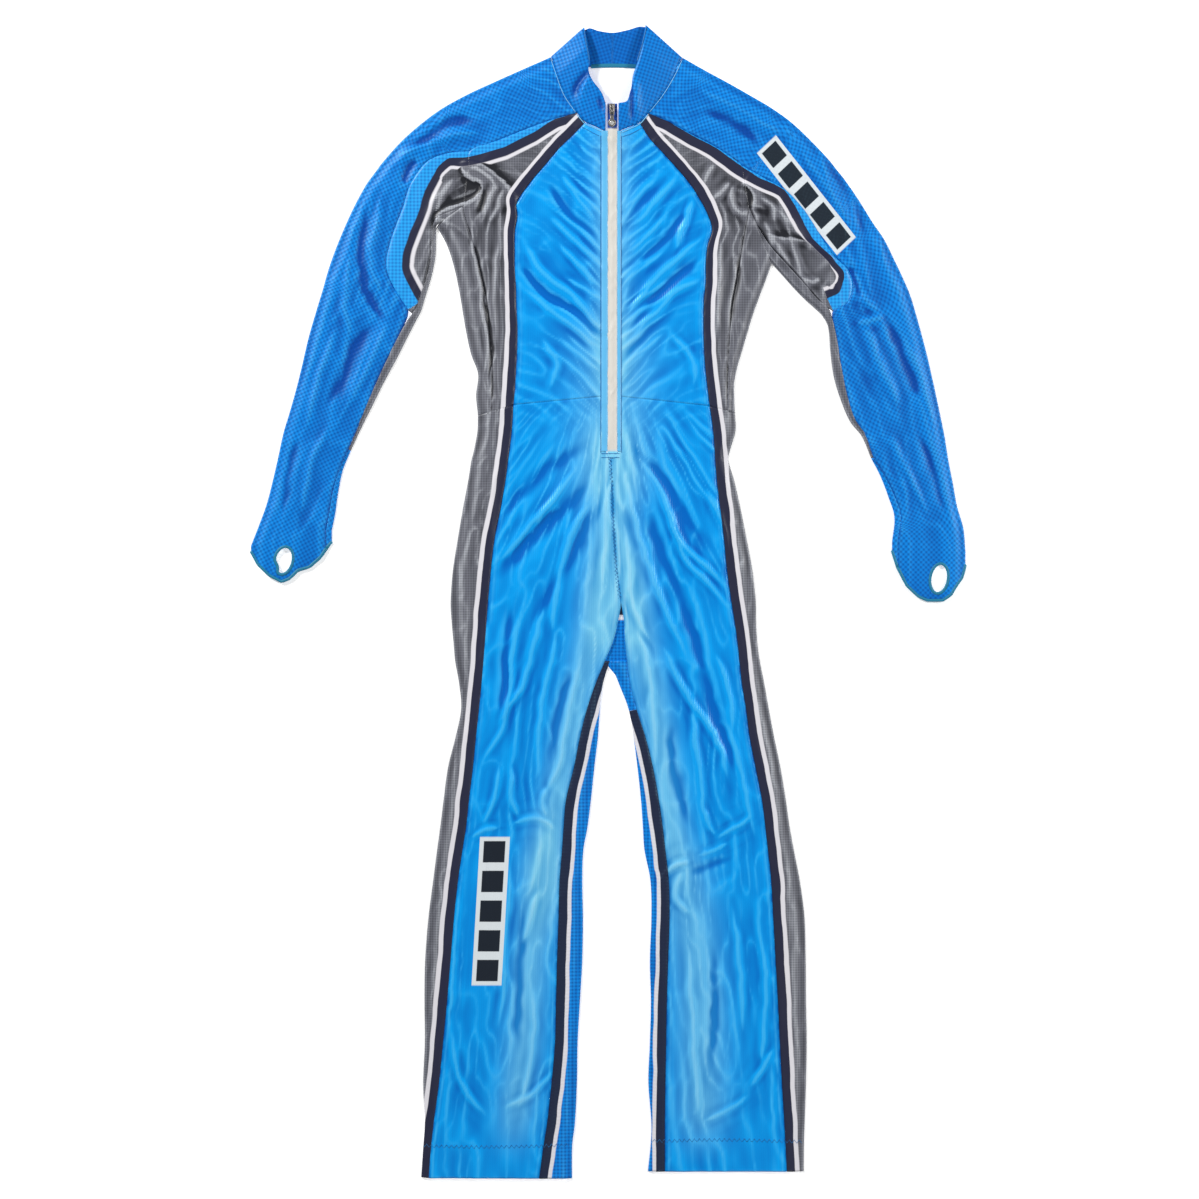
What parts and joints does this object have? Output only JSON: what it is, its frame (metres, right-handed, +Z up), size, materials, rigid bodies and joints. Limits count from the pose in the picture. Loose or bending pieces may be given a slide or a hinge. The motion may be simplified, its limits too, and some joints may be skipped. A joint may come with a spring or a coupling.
{
  "type": "ski race suit",
  "caption": "Ski race suit of thin knit, laid flat and face up, with a stand collar, a front zip with a swinging pull tab, and thumb-loop cuffs.",
  "frame": {"origin": "middle of the bounding box on the surface the suit lies on", "axes": "+Y towards the collar, +Z up out of the front, +X towards the sleeve worn on the left arm"},
  "size_m": [0.8944, 1.4438, 0.0175],
  "materials": {
    "azure_knit": "smooth glossy stretch knit, azure paling to the middle",
    "check_knit": "royal blue stretch knit with a fine darker dot check",
    "grey_knit": "mid grey stretch knit with navy and white stripes",
    "teal_binding": "bound edge tape",
    "zip_coil": "off-white covered coil zip",
    "grey_metal": "satin die-cast metal"
  },
  "bodies": {
    "suit": {"back_body": "check_knit", "back_leg_l": "check_knit", "back_leg_r": "check_knit", "collar": "check_knit", "cuff_l": "check_knit", "cuff_l_edge": "teal_binding", "cuff_l_thumb_edge": "teal_binding", "cuff_r": "check_knit", "cuff_r_edge": "teal_binding", "cuff_r_thumb_edge": "teal_binding", "front_body_l": "azure_knit", "front_body_r": "azure_knit", "front_leg_l": "azure_knit", "front_leg_r": "azure_knit", "side_back_l": "grey_knit", "side_back_r": "grey_knit", "side_front_l": "grey_knit", "side_front_r": "grey_knit", "side_leg_l": "grey_knit", "side_leg_r": "grey_knit", "sleeve_l": "check_knit", "sleeve_r": "check_knit", "underarm_back_l": "grey_knit", "underarm_back_r": "grey_knit", "underarm_front_l": "grey_knit", "underarm_front_r": "grey_knit", "zip_slider": "grey_metal", "zip_strip": "zip_coil"},
    "tab": {"pull_tab": "grey_metal"}
  },
  "joints": [
    {"name": "pull_tab_hinge", "type": "hinge", "parent": "suit", "child": "tab", "pos_m": [0.00469, 0.61125, 0.0155], "axis": [-1, 0, 0], "range_deg": [0, 175]}
  ]
}
